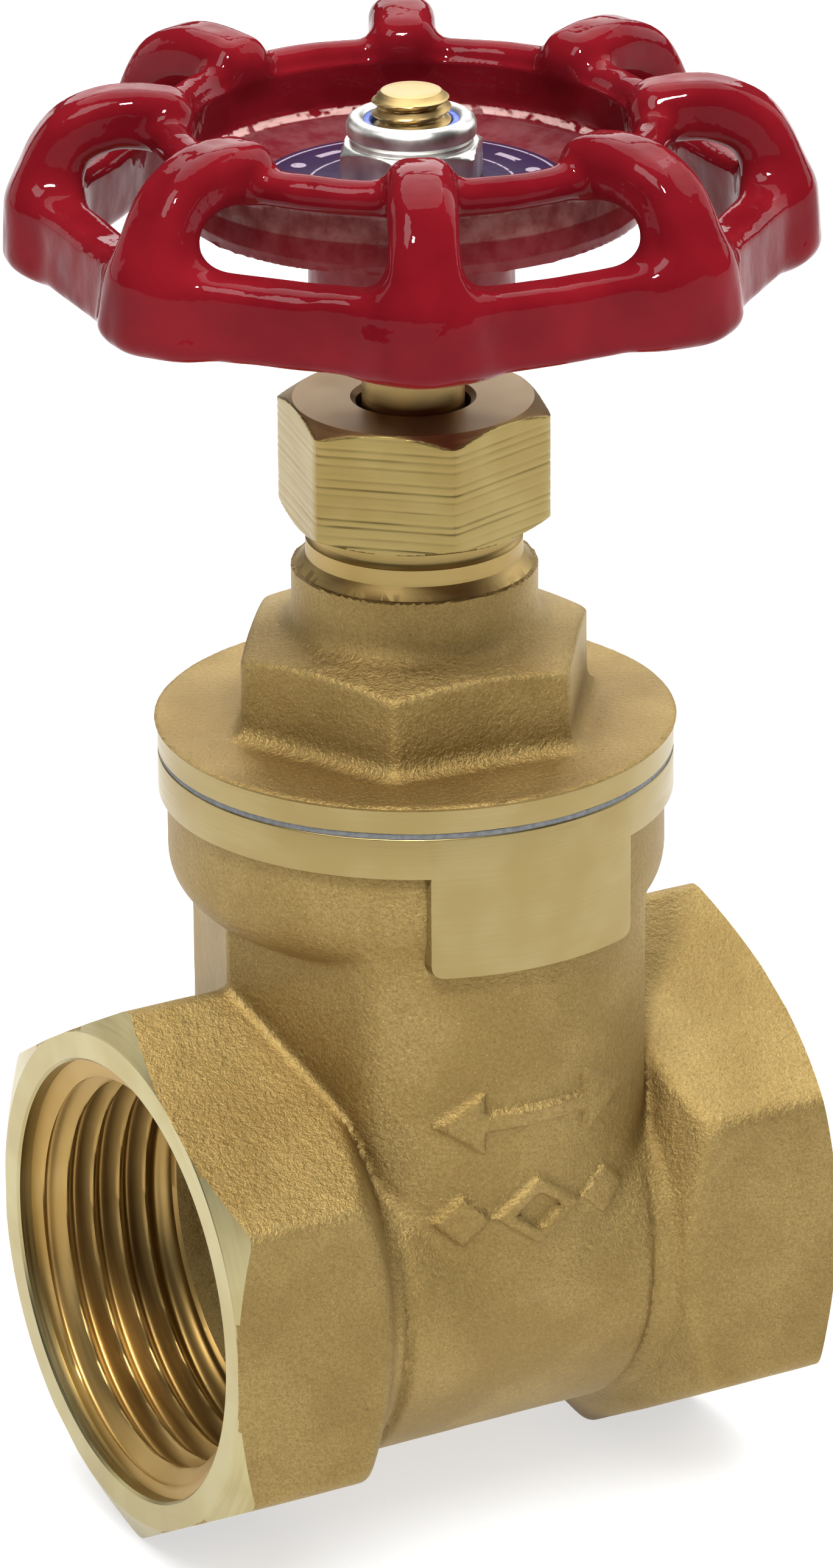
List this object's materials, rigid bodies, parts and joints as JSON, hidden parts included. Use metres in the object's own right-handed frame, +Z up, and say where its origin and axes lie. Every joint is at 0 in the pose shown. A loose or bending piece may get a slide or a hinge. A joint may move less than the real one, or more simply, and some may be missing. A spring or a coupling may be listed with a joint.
{
  "type": "gate valve",
  "caption": "Brass gate valve with female threaded pipe ends, non-rising stem, wedge gate and red lobed cast handwheel.",
  "frame": {"origin": "crossing of the stem axis and the pipe axis, on the pipe's centreline", "axes": "+X along the pipe towards the outlet, +Z up the stem towards the handwheel"},
  "size_m": [0.0588, 0.0588, 0.1145],
  "materials": {
    "cast_brass": "shot-blasted casting with turned faces",
    "turned_brass": "machined",
    "gasket": "matte grey fibre sheet",
    "ptfe": "smooth white",
    "packing": "matte graphite",
    "red_enamel": "gloss enamel on cast iron",
    "plate": "printed aluminium disc",
    "zinc": "bright zinc plate",
    "nylon": "moulded blue nylon"
  },
  "bodies": {
    "valve_body": {"body": "cast_brass", "bonnet": "cast_brass", "bonnet_gasket": "gasket", "thrust_washer": "ptfe", "stem_retaining_ring": "turned_brass", "packing_ring_1": "packing", "packing_ring_2": "packing", "packing_ring_3": "packing", "gland_follower": "turned_brass", "packing_nut": "turned_brass"},
    "handwheel_stem": {"handwheel": "red_enamel", "stem": "turned_brass", "name_plate": "plate", "handwheel_nut": "zinc", "nut_nylon_ring": "nylon"},
    "gate": {"wedge": "turned_brass"}
  },
  "joints": [
    {"name": "handwheel_turn", "type": "hinge", "parent": "valve_body", "child": "handwheel_stem", "pos_m": [0, 0, 0.08], "axis": [0, 0, 1], "range_deg": [0, 3120]},
    {"name": "gate_lift", "type": "slide", "parent": "valve_body", "child": "gate", "axis": [0, 0, 1], "range_m": [0, 0.02601]}
  ],
  "couplings": [
    {"joint": "gate_lift", "follows": "handwheel_turn", "m_per_rad": 0.00047746}
  ]
}
